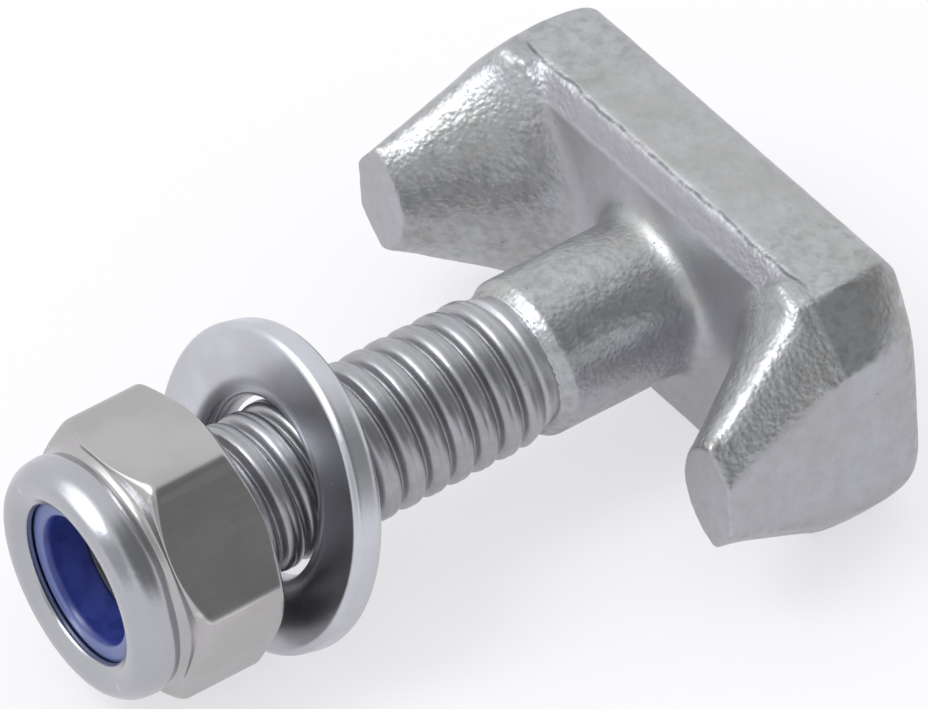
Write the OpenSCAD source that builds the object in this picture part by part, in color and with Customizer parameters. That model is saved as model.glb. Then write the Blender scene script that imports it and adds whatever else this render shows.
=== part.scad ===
// Battery terminal bolt: a forged T-head bolt with its loose flat washer and nylon insert lock nut.
// Millimetres. The bolt's axis is Y and its head is at +Y. The origin is on the axis, on the face of
// the head that clamps. +Z is up, and the bolt lies on its side as it would on a bench.

/* [Thread and shank] */
// Outside diameter of the thread, 5/16 inch
thread_d = 7.94; // [7.6:0.02:8.1]
// Distance from one thread ridge to the next, 18 to the inch
thread_pitch = 1.411; // [1.2:0.001:1.6]
// Diameter of the plain shank behind the thread
shank_d = 8.2; // [8.16:0.02:8.6]
// Length of the plain shank, from the clamping face
shank_len = 8.4; // [7.4:0.1:10]
// Radius of the fillet where the shank grows out of the head
root_fillet = 1; // [0.4:0.1:1.5]

/* [Head] */
// Width of the head over the tips of its horns
head_w = 31; // [30:0.1:34]
// How far each end leans in from the tip to the back, in degrees
end_draft = 2.5; // [1:0.1:4]
// Height of the head
head_h = 15; // [14:0.1:17]
// Thickness of the bar between the horns
bar_t = 5.8; // [4.5:0.1:7]
// Width of the bevel on the four corners of each end
end_bevel_w = 2.8; // [2:0.1:3.4]
// Height of that bevel
end_bevel_h = 3.2; // [2.4:0.1:3.8]
// Depth of the rough parting band along the upper front edge
band_depth = 0.8; // [0.5:0.1:1.2]
// Height of that band
band_h = 1.4; // [0.8:0.1:1.8]
// Leg of the small bevel along the lower front edge
low_bevel = 0.3; // [0.2:0.1:0.6]
// Leg of the small bevels round the back
back_bevel = 0.9; // [0.3:0.1:1.2]

/* [Horns] */
// How far the two horns reach past the clamping face
horn_len = 6.8; // [6.4:0.1:7.2]
// How far the axis of a horn's half cone lies inside the tip's outer edge
horn_inset = 0.4; // [0.2:0.1:0.8]
// Radius of the half cone of a horn at the clamping face
horn_root_r = 7.9; // [7.4:0.1:8.2]
// Radius of the half cone of a horn at its tip
horn_tip_r = 3.4; // [2.8:0.1:4]
// Where the corner bevel starts to deepen, behind the clamping face
bevel_start = 0.5; // [0.3:0.1:0.7]
// How much the corner bevel has deepened at the tip
bevel_drop = 2.5; // [2:0.1:3]
// Length of the flare that blends a horn into the clamping face
flare_len = 0.9; // [0.5:0.1:1.2]
// How much the flare widens a horn at the clamping face
flare_out = 0.9; // [0.4:0.1:1.2]

/* [Washer] */
// Outside diameter of the washer
washer_od = 16.3; // [15:0.1:18]
// Bore of the washer
washer_bore = 8.8; // [8.6:0.05:9]
// Thickness of the washer
washer_t = 1.65; // [1.4:0.05:1.8]
// Distance from the clamping face to the middle of the washer
washer_at = 22.7; // [21:0.1:24]

/* [Lock nut] */
// Width across the nut's flats
nut_af = 13; // [12.6:0.1:13.4]
// Height of the nut with its collar
nut_h = 8; // [7.8:0.1:8.8]
// Height of the hexagon
hex_h = 5.5; // [5.3:0.1:5.6]
// Space between the leaning washer and the nut
nut_gap = 0.5; // [0.45:0.05:2]
// How far the thread has entered the nut
nut_engage = 4.2; // [3.6:0.1:4.4]
// How far the nut stands turned on the thread, in degrees
nut_roll = 5; // [0:1:59]
// Diameter of the hole that the crimped collar leaves open
lip_hole_d = 8.6; // [8.3:0.1:9]
// Bore of the nylon ring, smaller than the thread so that it grips
insert_bore = 6.6; // [6.2:0.1:7]

/* [Hidden] */
$fn = 64;

forged = [0.68, 0.68, 0.69];
plated = [0.77, 0.77, 0.79];
nylon = [0.20, 0.25, 0.55];
eps = 0.01;
over = 1;

// Thread form: 60 degree flanks, flat ridges of an eighth and flat grooves of a quarter of the pitch
thread_r = thread_d / 2;
thread_root_r = thread_r - 0.5413 * thread_pitch;
root_share = 0.25;
flank_share = 0.3125;
crest_share = 0.125;
row_share = [0, root_share, root_share + flank_share, root_share + flank_share + crest_share];
row_rise = [0, 0, 1, 1];
rows = len(row_share);
thread_sides = 32;
thread_play = 0.03;
runout = 1.5 * thread_pitch;
lead_in = 0.6 * thread_pitch;

// A rolled thread is raised from a blank of the pitch diameter, which stays bare at the shoulder
blank_r = thread_r - 0.3248 * thread_pitch;
shoulder_r = blank_r + 0.2;
shoulder_len = 0.8;

// The washer leans until its bore rests on the thread, less a hair of play
lean_play = 0.05;
bore_diagonal = norm([washer_bore, washer_t]);
washer_lean = acos((thread_d + lean_play) / bore_diagonal) - atan2(washer_t, washer_bore);
washer_reach = washer_od / 2 * sin(washer_lean) + washer_t / 2 * cos(washer_lean);
washer_edge = 0.25;

// Places along the axis, measured from the clamping face towards the nut
nut_back = washer_at + washer_reach + nut_gap;
thread_end = nut_back + nut_engage;
thread_start = shank_len - over;
thread_len = thread_end - thread_start;

// Nut: a hexagon with 30 degree bevels, and a domed collar crimped over the nylon ring
hex_corner_d = nut_af / cos(30);
hex_bevel_r = nut_af / 2 - 0.15;
hex_bevel_h = (hex_corner_d / 2 - hex_bevel_r) * tan(30);
collar_r = nut_af / 2 - 0.2;
collar_wall = 0.9;
dome_r = 1.55;
valley_r = 0.4;
lip_r = 0.4;
lip_t = 1;
seat_h = 4.8;
insert_play = 0.03;
insert_r = collar_r - collar_wall;
insert_edge = 0.2;
insert_h = nut_h - lip_t - seat_h - 0.1;
bore_bevel = 0.5;

// Head: its ends at the clamping face and at the back, and the planes of its corner bevels
end_front = head_w / 2 - horn_len * tan(end_draft);
end_back = end_front - bar_t * tan(end_draft);
wide = head_w / 2 + over;
bevel_lean = atan2(end_bevel_h, end_bevel_w);
fall = end_bevel_w * bevel_drop / (horn_len + bevel_start);
horn_bevel_lean = acos(end_bevel_w / norm([end_bevel_h, fall, end_bevel_w]));
horn_bevel_turn = atan2(-fall, end_bevel_h);

// Horns: half cones that start inside the bar
horn_at = head_w / 2 - horn_inset;
horn_slope = (horn_root_r - horn_tip_r) / horn_len;
horn_sunk = band_depth + 0.6;

// Turns what is drawn along +Z so that it runs towards the nut
module along_bolt() {
    rotate([90, 0, 0]) children();
}

// Repeats what belongs to one end at both ends, or to one corner at all four
module both_ends() {
    children();
    mirror([1, 0, 0]) children();
}

module four_corners() {
    both_ends() {
        children();
        mirror([0, 0, 1]) children();
    }
}

// Everything on the outer side of a plane through the middle of this block's foot
module outside() {
    size = head_w;
    translate([-size / 2, -size / 2, 0]) cube(size);
}

// Outline of the bar seen from the side and from above, longer than its ends
module side_outline() {
    half = head_h / 2;
    polygon([
        [0, low_bevel - half], [low_bevel, -half], [bar_t - back_bevel, -half],
        [bar_t, back_bevel - half], [bar_t, half - back_bevel], [bar_t - back_bevel, half],
        [band_depth, half], [0, half - band_h]
    ]);
}

module top_outline() {
    corner = end_back - back_bevel;
    low = bar_t - (wide - corner);
    polygon([[-wide, -over], [wide, -over], [wide, low], [corner, bar_t], [-corner, bar_t], [-wide, low]]);
}

// The bar between the horns
module head_bar() {
    intersection() {
        rotate([90, 0, 90]) linear_extrude(2 * wide, center = true) side_outline();
        linear_extrude(head_h + 2 * over, center = true) top_outline();
    }
}

// The round form of the horn at +X, flared at the clamping face and level with the bar's faces
module horn() {
    intersection() {
        translate([horn_at, 0, 0]) along_bolt() rotate_extrude() polygon([
            [0, -horn_sunk], [horn_root_r + flare_out, -horn_sunk], [horn_root_r + flare_out, 0],
            [horn_root_r - horn_slope * flare_len, flare_len], [horn_tip_r, horn_len], [0, horn_len]
        ]);
        cube([4 * wide, 4 * wide, head_h], center = true);
    }
}

// Planes that shape each end: its outer face, and the corner bevels of bar and horn
module end_cut() {
    translate([head_w / 2, -horn_len, 0]) rotate([0, 90, end_draft]) outside();
}

module corner_cut() {
    corner = [end_front - end_bevel_w, 0, head_h / 2];
    translate(corner) rotate([0, bevel_lean, 0]) outside();
    translate(corner + [0, bevel_start, 0]) rotate([0, horn_bevel_lean, horn_bevel_turn]) outside();
}

module head() {
    difference() {
        union() {
            head_bar();
            both_ends() horn();
        }
        both_ends() end_cut();
        four_corners() corner_cut();
    }
}

// Half section of the shank, with its root fillet and the bevel down to the thread
module shank_section() {
    r = shank_d / 2;
    difference() {
        translate([0, -over]) square([r + root_fillet, root_fillet + over]);
        translate([r + root_fillet, root_fillet]) circle(root_fillet, $fn = 32);
    }
    polygon([[0, 0], [r, 0], [r, shank_len - shoulder_len], [shoulder_r, shank_len], [0, shank_len]]);
}

// Depth of the thread at a height on its rod: none in the shank, growing over the run-out
function depth_at(y) = min(1, max(0, (y - over) / runout));

// Height of a ridge at a height on the rod: full, and falling to the groove at the free end
function ridge_at(y) = min(1, max(0, (thread_len - y) / lead_in));

// One point of the thread: row j of the profile, side i of the turn
function thread_point(turn, i, j) =
    let (y = thread_pitch * (turn + i / thread_sides + row_share[j]))
    let (cut_r = thread_root_r + (thread_r - thread_root_r) * row_rise[j] * ridge_at(y))
    let (r = blank_r + (cut_r - blank_r) * depth_at(y))
    [r * cos(360 * i / thread_sides), r * sin(360 * i / thread_sides), y];

// The thread as one closed helical rod, a turn longer than the bolt at its free end
module thread_rod() {
    turns = ceil(thread_len / thread_pitch) + 1;
    last = turns * rows;
    skin = [
        for (k = [0:last]) for (i = [0:thread_sides - 1]) thread_point(floor(k / rows), i, k % rows)
    ];
    foot = len(skin);
    top = foot + 1;
    side = thread_sides - 1;
    end = last - rows;
    function at(k, i) = i <= side ? k * thread_sides + i : (k + rows) * thread_sides;
    walls = [
        for (k = [0:last - 1]) for (i = [0:side]) if (i < side || k < end)
            let (a = at(k, i), b = at(k + 1, i), c = at(k, i + 1), d = at(k + 1, i + 1))
            each [[a, b, c], [c, b, d]]
    ];
    foot_fan = [for (i = [0:side]) [foot, at(0, i), at(0, i + 1)]];
    foot_step = [for (j = [0:rows - 1]) [foot, at(j + 1, 0), at(j, 0)]];
    top_fan = [for (i = [0:side - 1]) [top, at(last, i + 1), at(last, i)]];
    top_step = [for (j = [end:last - 1]) [top, at(j, side), at(j + 1, side)]];
    top_close = [[top, at(last, 0), at(end, side)]];
    ends = [[0, 0, 0], [0, 0, turns * thread_pitch]];
    polyhedron(concat(skin, ends), concat(walls, foot_fan, foot_step, top_fan, top_step, top_close));
}

// The thread, cut to length by a flat end
module thread() {
    width = 2 * thread_d;
    intersection() {
        thread_rod();
        translate([-width / 2, -width / 2, -over]) cube([width, width, thread_len + over]);
    }
}

module terminal_bolt() {
    color(forged) union() {
        head();
        along_bolt() rotate_extrude() shank_section();
        translate([0, -thread_start, 0]) along_bolt() thread();
    }
}

module flat_washer() {
    half = washer_t / 2;
    inner = washer_bore / 2;
    outer = washer_od / 2;
    color(plated) translate([0, -washer_at, 0]) rotate([-washer_lean, 0, 0]) along_bolt()
        rotate_extrude() polygon([
            [inner, -half], [outer - washer_edge, -half], [outer, -half + washer_edge],
            [outer, half - washer_edge], [outer - washer_edge, half], [inner, half]
        ]);
}

// The hexagon, with the bevels that cut its corners at both ends
module hexagon() {
    r = hex_corner_d / 2;
    intersection() {
        cylinder(h = hex_h, d = hex_corner_d, $fn = 6);
        rotate_extrude() polygon([
            [0, 0], [hex_bevel_r, 0], [r + eps, hex_bevel_h + eps], [r + eps, hex_h - hex_bevel_h - eps],
            [hex_bevel_r, hex_h], [0, hex_h]
        ]);
    }
}

// Half section of the collar, domed outside and rounded round its lip
module collar_section() {
    inner = lip_hole_d / 2;
    difference() {
        translate([0, hex_h - over]) square([collar_r, nut_h - hex_h + over]);
        difference() {
            translate([collar_r - dome_r, nut_h - dome_r]) square(dome_r + over);
            translate([collar_r - dome_r, nut_h - dome_r]) circle(dome_r, $fn = 32);
        }
        translate([-over, nut_h - lip_t - over]) square([inner + over, lip_t + 2 * over]);
        difference() {
            translate([inner - eps, nut_h - lip_r]) square([lip_r + eps, lip_r + over]);
            translate([inner + lip_r, nut_h - lip_r]) circle(lip_r, $fn = 24);
        }
    }
}

// The hollow ring between the hexagon and the collar
module valley() {
    rotate_extrude() translate([collar_r + 0.12, hex_h + 0.2]) circle(valley_r, $fn = 24);
}

module lock_nut() {
    bore_r = thread_r + thread_play;
    color(plated) translate([0, -nut_back, 0]) along_bolt() rotate(nut_roll) difference() {
        union() {
            hexagon();
            rotate_extrude() collar_section();
        }
        valley();
        translate([0, 0, -over]) cylinder(h = nut_h + over, r = bore_r);
        translate([0, 0, -eps]) cylinder(h = bore_bevel, r1 = bore_r + bore_bevel, r2 = bore_r);
        translate([0, 0, seat_h]) cylinder(h = nut_h - lip_t - seat_h, r = insert_r);
    }
}

module nylon_insert() {
    inner = insert_bore / 2;
    outer = insert_r - insert_play;
    top = seat_h + insert_h;
    color(nylon) translate([0, -nut_back, 0]) along_bolt() rotate_extrude() polygon([
        [inner + insert_edge, seat_h + insert_play], [outer, seat_h + insert_play], [outer, top],
        [inner + insert_edge, top], [inner, top - insert_edge], [inner, seat_h + insert_play + insert_edge]
    ]);
}

terminal_bolt();
flat_washer();
lock_nut();
nylon_insert();
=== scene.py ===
# %% [markdown]
# # Battery terminal bolt
# A forged T-head bolt lies on its side with a loose washer and a lock nut on its thread.
# The CAD model already holds every piece at its real size. This lesson gives each piece its
# surface: soft forged edges and grain on the head, a rolled thread, satin plating on the nut and
# washer, and a smooth nylon ring.

# %% Load the CAD model
import math

import bmesh
import bpy
import numpy as np
from mathutils import Matrix, Vector, noise


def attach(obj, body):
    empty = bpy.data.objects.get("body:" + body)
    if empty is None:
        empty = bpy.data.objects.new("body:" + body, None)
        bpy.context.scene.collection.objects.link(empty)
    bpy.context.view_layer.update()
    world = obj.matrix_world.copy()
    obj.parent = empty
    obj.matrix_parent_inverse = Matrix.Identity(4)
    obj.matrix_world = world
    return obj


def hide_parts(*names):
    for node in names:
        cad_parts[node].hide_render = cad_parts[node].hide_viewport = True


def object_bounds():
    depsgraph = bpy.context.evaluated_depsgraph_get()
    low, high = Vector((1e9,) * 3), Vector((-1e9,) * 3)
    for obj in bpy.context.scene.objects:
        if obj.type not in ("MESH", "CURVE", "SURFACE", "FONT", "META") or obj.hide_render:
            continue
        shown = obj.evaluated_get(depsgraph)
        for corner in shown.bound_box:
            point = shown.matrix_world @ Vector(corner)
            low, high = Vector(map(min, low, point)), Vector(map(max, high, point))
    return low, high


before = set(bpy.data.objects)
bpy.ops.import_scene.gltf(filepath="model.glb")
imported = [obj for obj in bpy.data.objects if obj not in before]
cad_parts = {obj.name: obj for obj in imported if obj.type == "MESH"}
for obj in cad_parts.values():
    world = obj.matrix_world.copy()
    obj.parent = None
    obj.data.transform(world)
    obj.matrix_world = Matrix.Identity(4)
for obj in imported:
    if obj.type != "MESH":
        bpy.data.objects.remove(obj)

MM = 0.001
cad_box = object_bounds()
print("CAD box, mm:", [[round(v / MM, 2) for v in corner] for corner in cad_box])

# %% [markdown]
# ## Camera
# The picture was taken from the nut's side, from well above, with a long lens. The numbers come
# from laying the CAD outline over the picture's outline. The lens follows from how many pixels a
# millimetre takes at the middle of the picture.

# %% Camera
PICTURE_WIDTH = 928
AZIMUTH, ELEVATION, ROLL = (math.radians(a) for a in (57.89, 41.43, -4.44))
DISTANCE = 735.0
PIXELS_PER_MM = 20.797
TARGET = Vector((-1.939, -9.991, 0.0))

back = Vector((
    math.sin(AZIMUTH) * math.cos(ELEVATION),
    -math.cos(AZIMUTH) * math.cos(ELEVATION),
    math.sin(ELEVATION),
))
right = Vector((math.cos(AZIMUTH), math.sin(AZIMUTH), 0.0))
up = back.cross(right)
turn = Matrix.Rotation(ROLL, 3, back)
right, up = turn @ right, turn @ up

lens = bpy.data.cameras.new("camera")
lens.sensor_fit = "HORIZONTAL"
lens.sensor_width = 36.0
lens.lens = PIXELS_PER_MM * DISTANCE / PICTURE_WIDTH * lens.sensor_width
lens.clip_start = 0.01
camera = bpy.data.objects.new("camera", lens)
camera.matrix_world = Matrix.Translation((TARGET + back * DISTANCE) * MM) @ Matrix(
    (right, up, back)).transposed().to_4x4()
bpy.context.scene.collection.objects.link(camera)
bpy.context.scene.camera = camera
print("lens, mm:", round(lens.lens, 1))

# %% [markdown]
# ## Helpers for finishes
# A material is a small graph of nodes. This helper adds a node and fills its inputs, where an
# input is a number, a colour or the output of another node, so that a finish reads like a recipe.


# %% Node helper
class Recipe:
    """Adds nodes to one node tree."""

    def __init__(self, tree):
        self.tree = tree

    def add(self, kind, inputs=None, **settings):
        node = self.tree.nodes.new(kind)
        for name, value in settings.items():
            setattr(node, name, value)
        for name, value in (inputs or {}).items():
            if isinstance(value, bpy.types.NodeSocket):
                self.tree.links.new(value, node.inputs[name])
            else:
                node.inputs[name].default_value = value
        return node

    def math(self, operation, *values):
        return self.add("ShaderNodeMath", dict(enumerate(values)), operation=operation).outputs[0]

    def plus(self, first, second):
        return self.math("ADD", first, second)

    def minus(self, first, second):
        return self.math("SUBTRACT", first, second)

    def times(self, first, *others):
        for other in others:
            first = self.math("MULTIPLY", first, other)
        return first

    def larger(self, first, second):
        return self.math("MAXIMUM", first, second)

    def size(self, value):
        """The value without its sign."""
        return self.math("ABSOLUTE", value)

    def split(self, vector):
        """The x, y and z of a vector."""
        return self.add("ShaderNodeSeparateXYZ", {0: vector}).outputs[:]

    def join(self, x=0.0, y=0.0, z=0.0):
        """A vector from its x, y and z."""
        return self.add("ShaderNodeCombineXYZ", {0: x, 1: y, 2: z}).outputs[0]

    def ramp(self, value, low, high, start=0.0, end=1.0):
        """Goes smoothly from start to end while the value goes from low to high."""
        return self.add("ShaderNodeMapRange", {
            "Value": value, "From Min": low, "From Max": high, "To Min": start, "To Max": end,
        }, interpolation_type="SMOOTHSTEP").outputs["Result"]

    def fade(self, value, low, high):
        """Goes smoothly from one to nought while the value goes from low to high."""
        return self.ramp(value, low, high, 1.0, 0.0)

    def mix(self, share, first, second):
        """One colour turning into another."""
        inputs = {0: share, 6: first, 7: second}
        return self.add("ShaderNodeMix", inputs, data_type="RGBA").outputs[2]

    def clouds(self, place, per_mm, detail=2.0, rough=0.5):
        """Soft noise with about so many blobs in a millimetre."""
        return self.add("ShaderNodeTexNoise", {
            "Vector": place, "Scale": per_mm / MM, "Detail": detail, "Roughness": rough,
        }).outputs[0]

    def bump(self, height, depth_mm, strength=1.0, under=None):
        """Raises the surface in the light by so many millimetres."""
        inputs = {"Height": height, "Distance": depth_mm * MM, "Strength": strength}
        if under is not None:
            inputs["Normal"] = under
        return self.add("ShaderNodeBump", inputs).outputs["Normal"]

    def worn(self):
        """Above a half on outer edges, below a half in hollows."""
        return self.add("ShaderNodeNewGeometry").outputs["Pointiness"]

    def facing(self):
        """The x, y and z of the direction that the surface faces."""
        return self.split(self.add("ShaderNodeTexCoord").outputs["Normal"])


# %% Finish helpers
def new_finish(name):
    """An empty material with its recipe, its surface shader and the place on the piece."""
    finish = bpy.data.materials.new(name)
    finish.use_nodes = True
    recipe = Recipe(finish.node_tree)
    surface = finish.node_tree.nodes["Principled BSDF"]
    place = recipe.add("ShaderNodeTexCoord").outputs["Object"]
    return finish, recipe, surface, place


def feed(recipe, surface, **inputs):
    """Sets inputs of the surface shader by name, with underscores for spaces."""
    for name, value in inputs.items():
        socket = surface.inputs[name.replace("_", " ")]
        if isinstance(value, bpy.types.NodeSocket):
            recipe.tree.links.new(value, socket)
        else:
            socket.default_value = value


def grey(level, blue=0.0):
    """A metal colour, with a touch of blue where it is above nought."""
    return (level, level, level + blue, 1.0)


# %% [markdown]
# ## Forged and plated steel
# The head is forged, then plated. The die leaves a fine pebbled grain, strongest on the horns, and
# the plating turns it into a grey that shifts between warm and cool. Along the upper front edge
# runs a rough band where the flash was trimmed off. A faint groove above it is darkened with
# painted shade, and a pale line along its foot is a painted highlight. Hollows get painted shade,
# the ridge beside each horn gets a painted highlight, and faces turned sideways get a paler, bluer
# tone as a painted reflection of the floor. Worn edges are a little brighter and smoother.

# %% Head sizes that the finish and the mesh share
HEAD_HALF_H, BAND_DEPTH, BAND_H = 7.5, 0.8, 1.4
BAND_FOOT = HEAD_HALF_H - BAND_H
BAND_HALF_LEN = 12.6


# %% Where the band and its lines lie
def band_mask(recipe, x, y, z):
    """One on the trimmed band along the upper front edge, nought elsewhere."""
    slope = math.hypot(BAND_DEPTH, BAND_H)
    height = recipe.minus(z, BAND_FOOT * MM)
    off = recipe.minus(recipe.times(height, BAND_DEPTH / slope), recipe.times(y, BAND_H / slope))
    near = recipe.fade(recipe.size(off), 0.10 * MM, 0.28 * MM)
    inside = recipe.fade(recipe.size(x), (BAND_HALF_LEN - 1) * MM, BAND_HALF_LEN * MM)
    rising = recipe.ramp(height, -0.25 * MM, 0.05 * MM)
    return recipe.times(near, inside, rising)


def edge_lines(recipe, x, y, z):
    """The crease above the trimmed band, darkened as painted shade, and the ridge below it,
    brightened as a painted highlight, both wavering.
    """
    waver = recipe.times(recipe.minus(recipe.clouds(recipe.join(x), 0.32), 0.5), 0.7 * MM)
    inside = recipe.fade(recipe.size(x), (BAND_HALF_LEN - 1.6) * MM, (BAND_HALF_LEN - 0.5) * MM)
    # The dark line along this crease is painted shade over a faint groove in the bumps.
    crease_off = recipe.minus(recipe.minus(y, (BAND_DEPTH + 0.12) * MM), waver)
    shaded_crease = recipe.times(recipe.fade(recipe.size(crease_off), 0.02 * MM, 0.15 * MM),
                          recipe.ramp(z, 6.9 * MM, 7.1 * MM))
    # The pale line along this ridge is a painted highlight.
    ridge_off = recipe.minus(recipe.minus(z, BAND_FOOT * MM), waver)
    ridge = recipe.times(recipe.fade(recipe.size(ridge_off), 0.03 * MM, 0.20 * MM),
                         recipe.fade(recipe.size(y), 0.25 * MM, 0.4 * MM))
    return recipe.times(shaded_crease, inside), recipe.times(ridge, inside)


def corner_mask(recipe, x, y, z, blotch):
    """The ridge between a horn and the bevelled corner beside it, on the upper half, where a
    painted highlight goes.
    """
    off = recipe.plus(recipe.minus(y, 0.65 * MM), recipe.times(blotch, 0.3 * MM))
    return recipe.times(recipe.fade(recipe.size(off), 0.04 * MM, 0.26 * MM),
                        recipe.ramp(recipe.size(x), 12.2 * MM, 12.6 * MM),
                        recipe.ramp(z, 1.0 * MM, 3.0 * MM))


# %% Where the forging differs
def forged_masks(recipe, place):
    """How much each spot is worn edge, hollow, band, crease, horn and so on, from nought to one.
    Hollow and crease carry painted shade, ridge and corner painted highlights.
    """
    x, y, z = recipe.split(place)
    facing_x, facing_y, _ = recipe.facing()
    worn = recipe.worn()
    # A hollow's darker tone is painted shade.
    on = {"edge": recipe.ramp(worn, 0.515, 0.60), "hollow": recipe.fade(worn, 0.40, 0.49)}
    on["blotch"] = recipe.clouds(place, 1.3, 4.0, 0.7)
    on["band"] = band_mask(recipe, x, y, z)
    shaded_crease, on["ridge"] = edge_lines(recipe, x, y, z)
    on["shaded_crease"] = recipe.times(shaded_crease, recipe.ramp(on["blotch"], 0.38, 0.58, 0.45, 1.0))
    # Faces turned sideways; in the tone they take a painted reflection of the floor.
    on["end_face"] = recipe.ramp(
        recipe.larger(recipe.size(facing_x), recipe.size(facing_y)), 0.86, 0.97)
    on["horn"] = recipe.times(recipe.ramp(recipe.size(x), 6.0 * MM, 8.0 * MM),
                              recipe.minus(1.0, on["end_face"]))
    on["horn_grain"] = recipe.times(on["horn"], recipe.ramp(y, 0.6 * MM, 1.4 * MM, 0.47, 0.20))
    on["shank"] = recipe.times(recipe.fade(recipe.size(x), 5.0 * MM, 5.6 * MM),
                               recipe.fade(y, -1.4 * MM, -0.6 * MM))
    # The pale line on this corner ridge is a painted highlight.
    on["corner"] = recipe.times(corner_mask(recipe, x, y, z, on["blotch"]), on["horn"])
    spots = recipe.add("ShaderNodeTexVoronoi", {"Vector": place, "Scale": 0.8 / MM})
    on["pits"] = recipe.times(recipe.fade(spots.outputs["Distance"], 0.03, 0.12),
                              recipe.ramp(on["blotch"], 0.50, 0.58))
    return on


# %% Colour of the forging
WARM_STEEL, COOL_STEEL = (0.418, 0.414, 0.412, 1.0), (0.455, 0.460, 0.482, 1.0)
DULL_STEEL, STAINED_STEEL = (0.340, 0.344, 0.345, 1.0), (0.205, 0.215, 0.212, 1.0)
# The second colour here tints faces turned sideways paler and bluer, as a painted reflection of the
# floor.
TRIMMED_STEEL, FLOOR_REFLECTED_STEEL = (0.355, 0.350, 0.378, 1.0), (0.452, 0.447, 0.490, 1.0)


def forged_tone(recipe, place, on):
    drift = recipe.clouds(place, 0.34, 4.0, 0.65)
    stained = recipe.ramp(recipe.clouds(place, 1.8, 2.0, 0.55), 0.42, 0.70)
    most = recipe.plus(0.06, recipe.times(recipe.larger(on["horn"], on["shank"]), 0.26))
    tone = recipe.mix(recipe.ramp(drift, 0.38, 0.62), WARM_STEEL, COOL_STEEL)
    tone = recipe.mix(recipe.ramp(on["blotch"], 0.40, 0.68, 0.0, 0.45), tone, DULL_STEEL)
    tone = recipe.mix(recipe.times(stained, most), tone, STAINED_STEEL)
    # In this list the hollows and the crease get painted shade, the ridge and corner lines get
    # painted highlights, and faces turned sideways get a painted reflection of the floor; the band,
    # worn edges and pits are the steel's own marks.
    for mask, share, colour in (
            ("band", 0.8, TRIMMED_STEEL), ("end_face", 0.45, FLOOR_REFLECTED_STEEL),
            ("hollow", 0.40, grey(0.24)), ("edge", 0.5, grey(0.54, 0.012)),
            ("ridge", 0.35, grey(0.58, 0.015)), ("shaded_crease", 0.65, grey(0.13)),
            ("corner", 0.5, grey(0.66, 0.01)), ("pits", 0.40, grey(0.18))):
        tone = recipe.mix(recipe.times(on[mask], share), tone, colour)
    return tone


# %% Finish: forged steel
def forged_rough(recipe, on):
    rough = recipe.plus(0.33, recipe.times(on["blotch"], 0.16))
    rough = recipe.minus(rough, recipe.times(on["edge"], 0.10))
    rough = recipe.plus(rough, recipe.times(recipe.larger(on["end_face"], on["band"]), 0.06))
    return recipe.plus(rough, recipe.times(on["shaded_crease"], 0.20))


def forged_bumps(recipe, place, on):
    """Fine grain everywhere, pebbles most of all on the horns and the shank, and a few pits."""
    cells = recipe.add("ShaderNodeTexVoronoi", {
        "Vector": place, "Scale": 3.8 / MM, "Smoothness": 0.7}, feature="SMOOTH_F1")
    pebble = recipe.minus(
        recipe.times(recipe.clouds(place, 3.6, 1.5), 0.7), cells.outputs["Distance"])
    share = recipe.plus(0.13, on["horn_grain"])
    share = recipe.plus(share, recipe.times(on["shank"], 0.40))
    share = recipe.plus(share, recipe.times(on["band"], 0.18))
    share = recipe.times(share, recipe.minus(1.0, recipe.times(on["edge"], 0.6)))
    normal = recipe.bump(recipe.clouds(place, 6.5, 2.0, 0.6), 0.022, 0.5)
    normal = recipe.bump(pebble, 0.052, share, normal)
    normal = recipe.bump(on["shaded_crease"], -0.012, 0.5, normal)
    return recipe.bump(on["pits"], -0.04, 0.6, normal)


def forged_steel():
    finish, recipe, surface, place = new_finish("forged_steel")
    on = forged_masks(recipe, place)
    feed(recipe, surface, Base_Color=forged_tone(recipe, place, on), Metallic=1.0,
         Roughness=forged_rough(recipe, on), Normal=forged_bumps(recipe, place, on))
    return finish


steel_forged = forged_steel()
print("finish:", steel_forged.name, len(steel_forged.node_tree.nodes), "nodes")

# %% [markdown]
# ## Rolled thread steel
# Rolling squeezes the thread between dies, so its flanks are bright and smooth. Its grooves are
# darkened a little with painted shade. Fine lines run round it the way the metal slid. The smooth
# collar at its start is paler.

# %% Finish: rolled thread
THREAD_R, GROOVE_R, PITCH = 3.97, 3.50, 1.411


def rolled_steel():
    finish, recipe, surface, place = new_finish("rolled_steel")
    x, y, z = recipe.split(place)
    radius = recipe.math("SQRT", recipe.plus(recipe.times(x, x), recipe.times(z, z)))
    groove = recipe.fade(radius, GROOVE_R * MM, (GROOVE_R + THREAD_R) / 2 * MM)
    plain = recipe.ramp(y, -10.6 * MM, -9.4 * MM)
    around = recipe.join(recipe.times(x, 0.12), y, recipe.times(z, 0.12))
    lines = recipe.clouds(around, 7.0, 3.0, 0.6)
    blotch = recipe.clouds(place, 0.8, 3.0, 0.6)
    nicks = recipe.ramp(recipe.clouds(place, 2.8, 1.0), 0.70, 0.78)
    tone = recipe.mix(recipe.ramp(blotch, 0.35, 0.65), grey(0.350, 0.012), grey(0.390, 0.022))
    # Painted shade: the tone darkens towards the bottom of the grooves.
    tone = recipe.mix(recipe.times(groove, 0.18), tone, grey(0.20))
    tone = recipe.mix(recipe.times(plain, 0.8), tone, grey(0.52, 0.02))
    tone = recipe.mix(recipe.times(nicks, 0.35), tone, grey(0.28))
    rough = recipe.plus(0.27, recipe.times(lines, 0.14))
    rough = recipe.plus(rough, recipe.times(recipe.larger(groove, plain), 0.14))
    normal = recipe.bump(lines, 0.012, 0.5)
    normal = recipe.bump(recipe.clouds(place, 3.2, 1.5), 0.020, 0.4, normal)
    normal = recipe.bump(nicks, -0.015, 0.5, normal)
    feed(recipe, surface, Base_Color=tone, Metallic=1.0, Roughness=rough, Normal=normal)
    return finish


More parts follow.
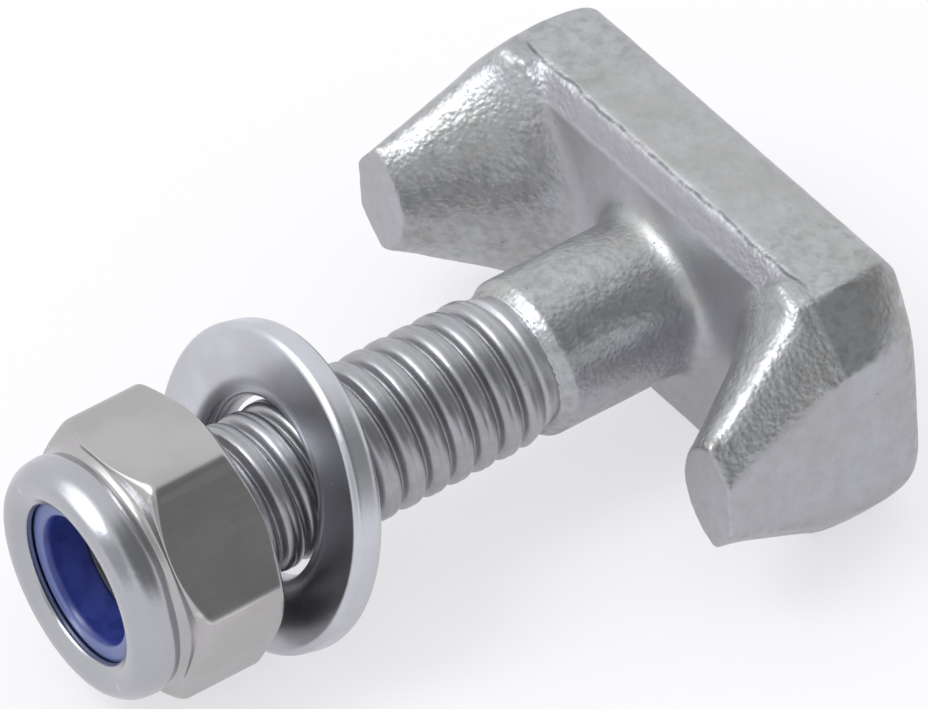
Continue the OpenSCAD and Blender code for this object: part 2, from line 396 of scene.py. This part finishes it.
steel_rolled = rolled_steel()
print("finish:", steel_rolled.name, len(steel_rolled.node_tree.nodes), "nodes")

# %% [markdown]
# ## Satin plated steel
# The nut and the washer are bright plated. Their faces are smooth with a faint brushed grain, a
# few scratches from handling, and paler worn edges. The nut's collar was rolled over the ring, and
# its tone is a little bluer as a painted reflection of the floor. One recipe serves both, with its
# own tone for each.

# %% Finish: satin plating
COLLAR_FROM, COLLAR_FULL = -31.8, -32.2
# The collar's bluer tint is a painted reflection of the floor.
COLLAR_FLOOR_REFLECTION = (0.430, 0.436, 0.478, 1.0)


def satin_plating(name, dark, light, base_rough):
    finish, recipe, surface, place = new_finish(name)
    collar = recipe.fade(recipe.split(place)[1], COLLAR_FULL * MM, COLLAR_FROM * MM)
    edge = recipe.ramp(recipe.worn(), 0.51, 0.58)
    drift = recipe.clouds(place, 0.22, 2.0, 0.6)
    speck = recipe.clouds(place, 5.5, 2.0, 0.6)
    brush = recipe.add("ShaderNodeMapping", {"Vector": place, "Scale": (1.0, 0.10, 1.0)})
    brushed = recipe.clouds(brush.outputs[0], 5.0, 3.0, 0.6)
    stroke = recipe.add("ShaderNodeMapping", {
        "Vector": place, "Rotation": (0.9, 0.2, 1.2), "Scale": (0.05, 1.0, 1.0)})
    scratch = recipe.ramp(recipe.clouds(stroke.outputs[0], 1.6, 1.0), 0.72, 0.77)
    tone = recipe.mix(recipe.ramp(drift, 0.35, 0.65), dark, light)
    # Painted reflection: the collar is tinted bluer.
    tone = recipe.mix(recipe.times(collar, 0.7), tone, COLLAR_FLOOR_REFLECTION)
    tone = recipe.mix(recipe.times(recipe.ramp(speck, 0.58, 0.72), 0.15), tone, grey(0.28))
    tone = recipe.mix(recipe.times(edge, 0.5), tone, grey(0.60, 0.015))
    rough = recipe.plus(base_rough, recipe.times(brushed, 0.12))
    rough = recipe.minus(rough, recipe.times(edge, 0.06))
    normal = recipe.bump(brushed, 0.006, 0.5)
    normal = recipe.bump(speck, 0.003, 0.5, normal)
    normal = recipe.bump(scratch, -0.008, 0.4, normal)
    feed(recipe, surface, Base_Color=tone, Metallic=1.0, Roughness=rough, Normal=normal)
    return finish


plating_nut = satin_plating(
    "nut_plating", (0.413, 0.401, 0.397, 1.0), (0.459, 0.446, 0.449, 1.0), 0.17)
plating_washer = satin_plating(
    "washer_plating", (0.52, 0.522, 0.55, 1.0), (0.58, 0.588, 0.635, 1.0), 0.24)
print("finishes:", plating_nut.name, plating_washer.name)

# %% [markdown]
# ## Blue nylon
# The ring in the nut is moulded nylon, dyed blue. It is smooth but not glassy, lets a little light
# in, and carries faint flow marks from the mould. Its outer face, which looks out of the nut, is
# made paler as painted light.

# %% Finish: blue nylon
DEEP_BLUE, MID_BLUE = (0.022, 0.034, 0.20, 1.0), (0.040, 0.058, 0.28, 1.0)
# The paler blue is painted light on the face that looks out of the nut.
LIT_FACE_BLUE = (0.120, 0.155, 0.34, 1.0)


def blue_nylon():
    finish, recipe, surface, place = new_finish("blue_nylon")
    drift = recipe.clouds(place, 0.7, 2.0, 0.6)
    speck = recipe.clouds(place, 4.0)
    # Painted light: the face turned out of the nut is paler.
    lit_face = recipe.fade(recipe.facing()[1], -0.95, -0.55)
    tone = recipe.mix(recipe.ramp(drift, 0.35, 0.65), DEEP_BLUE, MID_BLUE)
    tone = recipe.mix(recipe.times(lit_face, 0.75), tone, LIT_FACE_BLUE)
    rough = recipe.plus(0.24, recipe.times(speck, 0.14))
    feed(recipe, surface, Base_Color=tone, Roughness=rough, Normal=recipe.bump(speck, 0.010, 0.5),
         Subsurface_Weight=0.12, Subsurface_Scale=0.4 * MM, Specular_IOR_Level=0.6)
    return finish


nylon_blue = blue_nylon()
print("finish:", nylon_blue.name)

# %% [markdown]
# ## Placing a piece
# Every piece rides on the CAD body it belongs to and stands for its CAD node. One call does all of
# it, so that no piece is left behind when the joints move.


# %% Piece helpers
def dress(piece, finish, body, node):
    piece.data.materials.clear()
    piece.data.materials.append(finish)
    piece.data.polygons.foreach_set("use_smooth", [True] * len(piece.data.polygons))
    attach(piece, body)
    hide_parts(node)
    triangles = sum(len(p.vertices) - 2 for p in piece.data.polygons)
    print(piece.name, "on", body, "stands for", node + ",", triangles, "triangles")


def link(name, mesh):
    piece = bpy.data.objects.new(name, mesh)
    bpy.context.scene.collection.objects.link(piece)
    return piece


def as_plain_mesh(piece):
    """Applies the piece's modifiers to its mesh and removes them."""
    depsgraph = bpy.context.evaluated_depsgraph_get()
    mesh = bpy.data.meshes.new_from_object(piece.evaluated_get(depsgraph))
    piece.modifiers.clear()
    piece.data = mesh


# %% [markdown]
# ## The forged head and shank
# A forging has no sharp edges. The CAD solid has the right faces, so a copy of it is merged, cut
# off below the shoulder and wrapped in a fine even skin of small squares. Relaxing the skin rounds
# every edge, and relaxing it longer at the far corners, the back, the horns and the roots of the
# horns rounds those more.

# %% Skin over the CAD head
SKIN = 0.17
CUT_AT = -8.55
SHANK_R, STEP_R = 4.1, 3.71


def forged_skin():
    bm = bmesh.new()
    bm.from_mesh(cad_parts["terminal_bolt"].data)
    bmesh.ops.remove_doubles(bm, verts=bm.verts, dist=0.001 * MM)
    bmesh.ops.bisect_plane(bm, geom=bm.verts[:] + bm.edges[:] + bm.faces[:], dist=1e-7,
                           plane_co=(0, CUT_AT * MM, 0), plane_no=(0, -1, 0), clear_outer=True)
    bmesh.ops.holes_fill(bm, edges=[e for e in bm.edges if e.is_boundary])
    mesh = bpy.data.meshes.new("forged_head")
    bm.to_mesh(mesh)
    bm.free()
    piece = link("forged_head", mesh)
    skin = piece.modifiers.new("skin", "REMESH")
    skin.mode = "VOXEL"
    skin.voxel_size = SKIN * MM
    soften = piece.modifiers.new("soften", "SMOOTH")
    soften.factor = 0.5
    soften.iterations = 3
    as_plain_mesh(piece)
    return piece


head = forged_skin()
print("head skin:", len(head.data.vertices), "points")


# %% Point helpers
def read_points(mesh, what="co", source="vertices"):
    values = np.empty(len(getattr(mesh, source)) * 3, np.float32)
    getattr(mesh, source).foreach_get(what, values)
    return values.reshape(-1, 3).astype(float)


def write_points(mesh, points):
    mesh.vertices.foreach_set("co", points.astype(np.float32).ravel())
    mesh.update()


def smooth_step(value, low, high):
    t = np.clip((value - low) / (high - low), 0.0, 1.0)
    return t * t * (3 - 2 * t)


def smooth_drop(value, low, high):
    return 1 - smooth_step(value, low, high)


def relax(points, edges, weight, times):
    """Moves each point towards the middle of its neighbours, by its weight."""
    first, second = edges.T
    count = np.bincount(edges.ravel(), minlength=len(points))[:, None]
    for _ in range(times):
        total = np.stack([
            np.bincount(first, points[second, k], len(points))
            + np.bincount(second, points[first, k], len(points)) for k in range(3)], axis=1)
        points = points + 0.5 * weight[:, None] * (total / count - points)
    return points


# %% Where the forging is rounder
MEETING = (12.3, 0.2, 7.0)
ALL_OVER, BAND_EDGE, AT_MEETING, AT_ROOT = 0.05, 0.35, 0.8, 0.8

points = read_points(head.data) / MM
edges = np.array([e.vertices[:] for e in head.data.edges])
x, y, z = points.T
out = np.abs(x)
at_back = smooth_step(y, 3.0, 4.6)
at_corner = smooth_step(y, 2.4, 4.4) * smooth_step(out, 12.0, 13.8)
at_root = (smooth_step(y, -1.9, -0.8) * smooth_drop(y, 0.0, 0.3)
           * smooth_drop(out, 10.0, 11.5) * smooth_drop(np.abs(z), 4.8, 5.8))
at_shoulder = smooth_step(-y, 6.2, 7.0) * (out < 5)
at_horn = smooth_step(out, 6.0, 7.5) * smooth_step(-y, 0.3, 0.9) * smooth_drop(-y, 6.0, 6.5)
at_low_ridge = (smooth_step(out, 11.6, 12.4) * smooth_step(-z, 3.0, 4.0)
                * smooth_step(y, -1.6, -0.6) * smooth_drop(y, 1.4, 3.0))
at_band_edge = (smooth_step(z, 6.6, 7.0) * smooth_step(1.7 - y, 0.0, 0.5)
                * (y > 0.2) * (out < MEETING[0]))
from_meeting = np.linalg.norm(np.stack([out, y, z], axis=1) - np.array(MEETING), axis=1)
at_meeting = smooth_drop(from_meeting, 0.9, 1.9)
print("points on the horns:", int((at_horn > 0.5).sum()))

# %% Relax the edges of the forging
EDGE_TIMES, HORN_TIMES, CORNER_TIMES = 45, 40, 280

at_edge = (ALL_OVER * (1 - at_shoulder) + at_back + AT_ROOT * at_root + at_horn
           + BAND_EDGE * at_band_edge + AT_MEETING * at_meeting + at_low_ridge)
points = relax(points, edges, np.clip(at_edge, 0, 1), EDGE_TIMES)
points = relax(points, edges, np.clip(at_horn + at_low_ridge, 0, 1), HORN_TIMES)
points = relax(points, edges, at_corner, CORNER_TIMES)
write_points(head.data, points * MM)
print("relaxed, box mm:", points.min(0).round(2), points.max(0).round(2))

# %% [markdown]
# ## Uneven forged surface
# The shoulder of the shank ends in a wavy edge, because rolling the thread pushed metal up against
# it. The flat faces swell and sink by hundredths of a millimetre, and the trimmed band is rougher.
# Every dent goes inwards, so the head keeps its size.

# %% Shoulder and dents
STEP_FROM, STEP_TO = 7.7, 8.45
SWELL, LUMP, BAND_ROUGH, HORN_ROUGH = 0.035, 0.020, 0.04, 0.03


def wavy_shoulder(points):
    """Steps the shank down to the thread, along an uneven edge."""
    x, y, z = points.T
    angle, radius = np.arctan2(z, x), np.hypot(x, z)
    step_r = SHANK_R - (SHANK_R - STEP_R) * smooth_step(-y, STEP_FROM, STEP_TO)
    outer = (radius > STEP_R - 0.25) & (-y > 7.2) & (-y < 8.5) & (radius < 5.0)
    spread = np.where(outer, step_r / np.maximum(radius, 0.1), 1.0)
    wave = 0.24 * np.sin(2 * angle + 0.4) + 0.14 * np.sin(3 * angle + 2.2)
    moved = points * np.stack([spread, np.ones_like(spread), spread], axis=1)
    moved[:, 1] += smooth_step(-y, 6.6, 7.6) * (radius < 5.0) * wave
    return moved


def dent_depth(points):
    """Depth of the dents at each point, in millimetres."""
    x, y, z = points.T

    def uneven(per_mm, shift):
        values = [noise.noise(Vector(p) * per_mm + Vector(shift)) for p in points]
        return 0.5 + 0.5 * np.array(values)

    in_band = (smooth_step(z, BAND_FOOT - 0.2, BAND_FOOT + 0.1) * smooth_drop(y, 0.9, 1.1)
               * smooth_drop(np.abs(x), BAND_HALF_LEN - 0.6, BAND_HALF_LEN) * (y > -0.3))
    on_horn = smooth_step(-y, 0.2, 1.5) * (np.abs(x) > 6)
    return (SWELL * uneven(0.42, (0, 0, 0)) + LUMP * uneven(1.25, (7, 3, 1))
            + (BAND_ROUGH * in_band + HORN_ROUGH * on_horn) * uneven(2.3, (1, 9, 4)))


inwards = -read_points(head.data, "vector", "vertex_normals")
points = wavy_shoulder(points) + inwards * dent_depth(points)[:, None]
write_points(head.data, points * MM)
dress(head, steel_forged, "bolt", "terminal_bolt")

# %% [markdown]
# ## The rolled thread
# A thread is one rule repeated: the radius at a point depends only on how far along the pitch it
# lies, once the turn round the axis is taken off. So Geometry Nodes shape a fine tube by that rule.
# The curve gives the ridge of a rolled thread: a narrow groove, a broad round ridge, and a faint
# seam along its crest where the two sides of the metal met.

# %% Thread sizes
THREAD_START, THREAD_END = 7.4, 30.466
BLANK_R = THREAD_R - 0.3248 * PITCH
RUN_OUT_FROM, RUN_OUT = 1.0, 1.2 * PITCH
SIDES, ROWS_PER_PITCH = 112, 20
UNEVEN = 0.05
RIDGE = (
    (0.0, 0.56), (0.06, 0.19), (0.125, 0.0), (0.19, 0.19), (0.25, 0.56), (0.34, 0.87), (0.45, 0.98),
    (0.55, 1.0), (0.625, 0.94), (0.70, 1.0), (0.80, 0.98), (0.91, 0.87), (1.0, 0.56))


def thread_tree():
    """An empty tree with its sizes as named inputs, and those sizes in metres."""
    tree = bpy.data.node_groups.new("rolled_thread", "GeometryNodeTree")
    tree.interface.new_socket("Geometry", in_out="OUTPUT", socket_type="NodeSocketGeometry")
    sizes = {
        "Outside radius": THREAD_R, "Groove radius": GROOVE_R, "Blank radius": BLANK_R,
        "Pitch": PITCH, "Start": THREAD_START, "Length": THREAD_END - THREAD_START,
        "Run-out from": RUN_OUT_FROM, "Run-out length": RUN_OUT, "Unevenness": UNEVEN}
    for name, value in sizes.items():
        socket = tree.interface.new_socket(name, in_out="INPUT", socket_type="NodeSocketFloat")
        socket.default_value = value * MM
    return tree, {name: value * MM for name, value in sizes.items()}


# %% Thread rule
def ridge_curve(recipe, turns):
    """Height of the ridge for a place along the pitch, both from nought to one."""
    ridge = recipe.add("ShaderNodeFloatCurve", {"Value": recipe.math("FRACT", turns)})
    curve = ridge.mapping.curves[0]
    curve.points[0].location, curve.points[-1].location = RIDGE[0], RIDGE[-1]
    for phase, height in RIDGE[1:-1]:
        curve.points.new(phase, height)
    ridge.mapping.update()
    return ridge.outputs[0]


def round_axis(recipe, radius, angle, along):
    """A point at a radius and an angle round the bolt's axis."""
    return recipe.join(recipe.times(radius, recipe.math("COSINE", angle)), along,
                       recipe.times(radius, recipe.math("SINE", angle)))


def thread_radius(recipe, size, along, angle):
    turns = recipe.minus(recipe.math("DIVIDE", along, size["Pitch"]),
                         recipe.math("DIVIDE", angle, 2 * math.pi))
    depth = recipe.minus(size["Outside radius"], size["Groove radius"])
    cut = recipe.plus(size["Groove radius"], recipe.times(depth, ridge_curve(recipe, turns)))
    full = recipe.plus(size["Run-out from"], size["Run-out length"])
    share = recipe.ramp(along, size["Run-out from"], full)
    radius = recipe.plus(size["Blank radius"],
                         recipe.times(recipe.minus(cut, size["Blank radius"]), share))
    wrap = round_axis(recipe, size["Outside radius"], angle, along)
    dents = recipe.times(recipe.clouds(wrap, 0.8, 2.0, 0.6), size["Unevenness"])
    return recipe.minus(radius, dents)


# %% Thread tree
def fill_thread_tree(tree):
    recipe = Recipe(tree)
    size = recipe.add("NodeGroupInput").outputs
    rows = int((THREAD_END - THREAD_START) / PITCH * ROWS_PER_PITCH)
    tube = recipe.add("GeometryNodeMeshCylinder", {
        "Vertices": SIDES, "Side Segments": rows, "Radius": 1.0, "Depth": size["Length"]})
    tube_x, tube_y, tube_z = recipe.split(recipe.add("GeometryNodeInputPosition").outputs[0])
    along = recipe.plus(tube_z, recipe.times(size["Length"], 0.5))
    angle = recipe.math("ARCTAN2", tube_y, tube_x)
    radius = thread_radius(recipe, size, along, angle)
    from_head = recipe.times(recipe.plus(along, size["Start"]), -1.0)
    shaped = recipe.add("GeometryNodeSetPosition", {
        "Geometry": tube.outputs["Mesh"], "Position": round_axis(recipe, radius, angle, from_head)})
    real = recipe.add("GeometryNodeRealizeInstances", {0: shaped.outputs[0]})
    coated = recipe.add("GeometryNodeSetMaterial", {
        "Geometry": real.outputs[0], "Material": steel_rolled})
    recipe.add("NodeGroupOutput", {0: coated.outputs[0]})


# %% Thread piece
def rolled_thread():
    tree, sizes = thread_tree()
    fill_thread_tree(tree)
    piece = link("rolled_thread", bpy.data.meshes.new("rolled_thread"))
    rule = piece.modifiers.new("rolled_thread", "NODES")
    rule.node_group = tree
    for item in tree.interface.items_tree:
        if item.in_out == "INPUT":
            rule[item.identifier] = sizes[item.name]
    as_plain_mesh(piece)
    return piece


thread = rolled_thread()
dress(thread, steel_rolled, "bolt", "terminal_bolt")

# %% [markdown]
# ## Turned pieces
# The washer, the nut and the ring are all a section carried round an axis. The nut's section
# changes as it goes round, because the hexagon is wider at its corners. So one helper takes a
# section for each angle, and joins the sections into a closed ring. Another rounds a section's
# corners.


# %% Ring helpers
def rounded(corners, steps=5, hold=0.06):
    """A closed section with each corner (radius, height, rounding) eased, in millimetres."""
    section = []
    spots = np.array([c[:2] for c in corners], float)
    for i, (_, _, ease) in enumerate(corners):
        here, before, after = spots[i], spots[i - 1], spots[(i + 1) % len(spots)]
        back_len, next_len = np.linalg.norm(before - here), np.linalg.norm(after - here)
        to_back, to_next = (before - here) / back_len, (after - here) / next_len
        reach = min(ease, 0.4 * back_len, 0.4 * next_len)
        start, end = here + to_back * reach, here + to_next * reach
        section.append(start + to_back * min(hold, 0.08 * back_len))
        for t in np.linspace(0, 1, steps + 1):
            section.append((1 - t) ** 2 * start + 2 * t * (1 - t) * here + t * t * end)
        section.append(end + to_next * min(hold, 0.08 * next_len))
    return np.array(section)


def ring(name, section_at, count):
    """Joins the sections at so many angles. Height runs towards the nut, which is -Y."""
    angles = np.arange(count) * 2 * math.pi / count
    rings = np.array([section_at(a) for a in angles])
    radius, height = rings[..., 0], rings[..., 1]
    spots = np.stack([radius * np.cos(angles)[:, None], -height,
                      radius * np.sin(angles)[:, None]], axis=-1)
    rows = rings.shape[1]
    faces = [(i * rows + j, i * rows + (j + 1) % rows,
              (i + 1) % count * rows + (j + 1) % rows, (i + 1) % count * rows + j)
             for i in range(count) for j in range(rows)]
    mesh = bpy.data.meshes.new(name)
    mesh.from_pydata((spots.reshape(-1, 3) * MM).tolist(), [], faces)
    bm = bmesh.new()
    bm.from_mesh(mesh)
    bmesh.ops.remove_doubles(bm, verts=bm.verts, dist=0.0005 * MM)
    bmesh.ops.recalc_face_normals(bm, faces=bm.faces)
    bm.to_mesh(mesh)
    bm.free()
    return link(name, mesh)


# %% [markdown]
# ## The flat washer
# A washer is punched from sheet. The punch rolls the edges over on the side it enters, most of
# all round the bore, and leaves crisper edges on the other. It leans on the thread, as far as its
# bore lets it.

# %% Washer
WASHER_R, WASHER_BORE_R, WASHER_T, WASHER_AT = 8.15, 4.4, 1.65, 22.7
LEAN_PLAY = 0.05
WASHER_SIDES = 144


def washer_section():
    half = WASHER_T / 2
    return rounded([
        (WASHER_BORE_R, -half, 0.30), (WASHER_R, -half, 0.50), (WASHER_R, half - 0.24, 0.18),
        (WASHER_R - 0.24, half, 0.22), (WASHER_BORE_R + 0.95, half, 0.60),
        (WASHER_BORE_R + 0.20, half - 0.30, 0.30), (WASHER_BORE_R, half - 0.85, 0.30)])


def washer():
    section = washer_section()
    piece = ring("punched_washer", lambda angle: section, WASHER_SIDES)
    bore, play = 2 * WASHER_BORE_R, 2 * THREAD_R + LEAN_PLAY
    lean = math.acos(play / math.hypot(bore, WASHER_T)) - math.atan2(WASHER_T, bore)
    place = Matrix.Translation((0, -WASHER_AT * MM, 0))
    piece.data.transform(place @ Matrix.Rotation(-lean, 4, "X"))
    print("washer leans, degrees:", round(math.degrees(lean), 1))
    return piece


dress(washer(), plating_washer, "washer", "flat_washer")

# %% [markdown]
# ## The lock nut
# The hexagon's corners are cut by a cone at both ends, which draws the curved line between each
# flat and its bevel. In front of a shallow groove stands the round collar, whose lip was rolled
# inwards over the nylon ring.

# %% Nut sizes
NUT_BACK, NUT_H, HEX_H = 26.266, 8.0, 5.5
FLAT_R, CORNER_EASE, BEVEL_FROM = 6.5, 1.1, 6.35
COLLAR_R, VALLEY_R, LIP_R, LIP_T = 6.3, 6.02, 4.2, 1.0
SEAT_R, SEAT_AT, BORE_R = 5.4, 4.8, 4.0
NUT_TURN = math.radians(5)
HALF_FLAT = math.pi / 6
NUT_SIDES = 480


def hexagon_radius(angle):
    """Distance from the axis to the hexagon, whose corners are arcs."""
    off = abs((angle - NUT_TURN) % (2 * HALF_FLAT) - HALF_FLAT)
    inner = FLAT_R - CORNER_EASE
    if off <= math.atan2(inner * math.tan(HALF_FLAT), FLAT_R):
        return FLAT_R / math.cos(off)
    arc_at = inner / math.cos(HALF_FLAT)
    side = HALF_FLAT - off
    return arc_at * math.cos(side) + math.sqrt(CORNER_EASE ** 2 - (arc_at * math.sin(side)) ** 2)


# %% Nut
def nut_section(angle):
    wide = hexagon_radius(angle)
    bevel = (wide - BEVEL_FROM) * math.tan(HALF_FLAT)
    hexagon = [
        (BORE_R + 0.5, 0.0, 0.12), (BEVEL_FROM, 0.0, 0.10),
        (wide, bevel, 0.20), (wide, HEX_H - bevel, 0.48)]
    collar = [
        (VALLEY_R + 0.26, HEX_H - 0.13, 0.25), (VALLEY_R, HEX_H + 0.20, 0.20),
        (COLLAR_R, HEX_H + 0.80, 0.42), (COLLAR_R - 0.10, NUT_H - 0.72, 0.55),
        (LIP_R + 1.45, NUT_H, 0.55), (LIP_R + 0.65, NUT_H, 0.32), (LIP_R, NUT_H - 0.38, 0.25),
        (LIP_R, NUT_H - 0.75, 0.10), (LIP_R + 0.40, NUT_H - LIP_T + 0.03, 0.08)]
    seat_and_bore = [
        (SEAT_R, NUT_H - LIP_T, 0.05), (SEAT_R, SEAT_AT, 0.05),
        (BORE_R, SEAT_AT, 0.08), (BORE_R, 0.5, 0.08)]
    return rounded(hexagon + collar + seat_and_bore)


nut = ring("lock_nut_shell", nut_section, NUT_SIDES)
nut.data.transform(Matrix.Translation((0, -NUT_BACK * MM, 0)))
dress(nut, plating_nut, "nut", "lock_nut")

# %% [markdown]
# ## The nylon ring
# The ring fills the collar, and its bore is smaller than the thread, so the bolt has to press its
# own thread into it. That grip is what locks the nut.

# %% Nylon ring
RING_R, RING_BORE_R, RING_FROM, RING_TO = 5.37, 3.3, 4.83, 6.9
RING_SIDES = 128
ring_section = rounded([
    (RING_BORE_R, RING_FROM, 0.25), (RING_R, RING_FROM, 0.15), (RING_R, RING_TO, 0.10),
    (4.58, 6.96, 0.10), (4.12, 7.20, 0.12), (RING_BORE_R + 0.15, 7.16, 0.2),
    (RING_BORE_R, 6.85, 0.15)])
nylon_ring = ring("nylon_ring", lambda angle: ring_section, RING_SIDES)
nylon_ring.data.transform(Matrix.Translation((0, -NUT_BACK * MM, 0)))
dress(nylon_ring, nylon_blue, "insert", "nylon_insert")

# %% [markdown]
# ## Floor and studio
# The bolt lies on a white sheet, which can be looked through from below. Metal shows little but
# what stands round it, so the studio matters as much as the finish: a bright patch of ceiling to
# the left in front, and two darker patches to the right, one behind and one in front. A tent that
# only reflections can see carries those tones, and a soft lamp lights the floor.


# %% Floor
def seen_directly(recipe):
    """One for what the camera sees, by itself, in a mirror or through glass."""
    path = recipe.add("ShaderNodeLightPath").outputs
    return recipe.larger(path["Is Camera Ray"],
                         recipe.larger(path["Is Glossy Ray"], path["Is Transmission Ray"]))


def white_sheet():
    finish = bpy.data.materials.new("white_floor")
    finish.use_nodes = True
    finish.node_tree.nodes.clear()
    recipe = Recipe(finish.node_tree)
    matte = recipe.add("ShaderNodeBsdfDiffuse", {"Color": (0.86, 0.855, 0.88, 1.0)})
    glow = recipe.add("ShaderNodeEmission", {"Color": (0.985, 0.98, 1.0, 1.0), "Strength": 1.0})
    clear = recipe.add("ShaderNodeBsdfTransparent")
    below = recipe.add("ShaderNodeNewGeometry").outputs["Backfacing"]
    above = recipe.add("ShaderNodeMixShader", {
        0: recipe.times(seen_directly(recipe), 0.62), 1: matte.outputs[0], 2: glow.outputs[0]})
    sheet = recipe.add("ShaderNodeMixShader", {0: below, 1: above.outputs[0], 2: clear.outputs[0]})
    recipe.add("ShaderNodeOutputMaterial", {"Surface": sheet.outputs[0]})
    return finish


def white_floor(level, half=3.0):
    corners = [(x * half, y * half, level) for x, y in ((-1, -1), (1, -1), (1, 1), (-1, 1))]
    mesh = bpy.data.meshes.new("floor")
    mesh.from_pydata(corners, [], [(0, 1, 2, 3)])
    mesh.materials.append(white_sheet())
    link("floor", mesh)


FLOOR_AT = cad_box[0].z - 0.02 * MM
white_floor(FLOOR_AT)
print("floor at, mm:", round(FLOOR_AT / MM, 2))

# %% Reflected studio
TENT_R = 1.2
ROOM = 1.05
BRIGHT_CEILING = ((-0.32, -0.49, 0.81), 0.83, 0.97, 1.50)
DARK_BEHIND = ((0.66, 0.39, 0.64), 0.70, 0.93, -0.78)
DARK_IN_FRONT = ((0.38, -0.69, 0.62), 0.85, 0.97, -0.46)


def tent_glow():
    """A glow that is even but for its patches: direction, edge, middle and how much is added."""
    finish = bpy.data.materials.new("tent")
    finish.use_nodes = True
    finish.node_tree.nodes.clear()
    recipe = Recipe(finish.node_tree)
    place = recipe.add("ShaderNodeTexCoord").outputs["Object"]
    toward = recipe.add("ShaderNodeVectorMath", {0: place}, operation="NORMALIZE").outputs[0]
    level = ROOM
    for direction, edge, middle, lift in (BRIGHT_CEILING, DARK_BEHIND, DARK_IN_FRONT):
        aim = Vector(direction).normalized()
        near = recipe.add("ShaderNodeVectorMath", {0: toward, 1: aim}, operation="DOT_PRODUCT")
        level = recipe.plus(level, recipe.ramp(near.outputs["Value"], edge, middle, 0.0, lift))
    glow = recipe.add("ShaderNodeEmission", {"Color": (0.978, 0.992, 1.0, 1.0), "Strength": level})
    recipe.add("ShaderNodeOutputMaterial", {"Surface": glow.outputs[0]})
    return finish


def reflected_tent():
    bm = bmesh.new()
    bmesh.ops.create_uvsphere(bm, u_segments=48, v_segments=24, radius=TENT_R)
    mesh = bpy.data.meshes.new("tent")
    bm.to_mesh(mesh)
    bm.free()
    mesh.materials.append(tent_glow())
    piece = link("tent", mesh)
    for ray in ("camera", "diffuse", "transmission", "volume_scatter", "shadow"):
        setattr(piece, "visible_" + ray, False)


reflected_tent()
print("tent radius, m:", TENT_R)


# %% World and lamps
def white_world(strength):
    world = bpy.data.worlds.new("studio")
    bpy.context.scene.world = world
    world.use_nodes = True
    recipe = Recipe(world.node_tree)
    level = recipe.plus(strength, recipe.times(seen_directly(recipe), 1.0 - strength))
    sky = world.node_tree.nodes["Background"]
    sky.inputs["Color"].default_value = (1.0, 1.0, 1.0, 1.0)
    recipe.tree.links.new(level, sky.inputs["Strength"])


def soft_lamp(name, spot, size, power):
    lamp = bpy.data.lights.new(name, "AREA")
    lamp.shape = "DISK"
    lamp.size = size
    lamp.energy = power
    lamp.color = (0.94, 0.98, 1.0)
    piece = bpy.data.objects.new(name, lamp)
    piece.location = spot
    piece.rotation_euler = (-Vector(spot)).to_track_quat("-Z", "Y").to_euler()
    bpy.context.scene.collection.objects.link(piece)


white_world(0.96)
soft_lamp("key_lamp", (-0.07, -0.36, 0.55), 0.30, 1.4)
bpy.context.scene.view_settings.view_transform = "Standard"
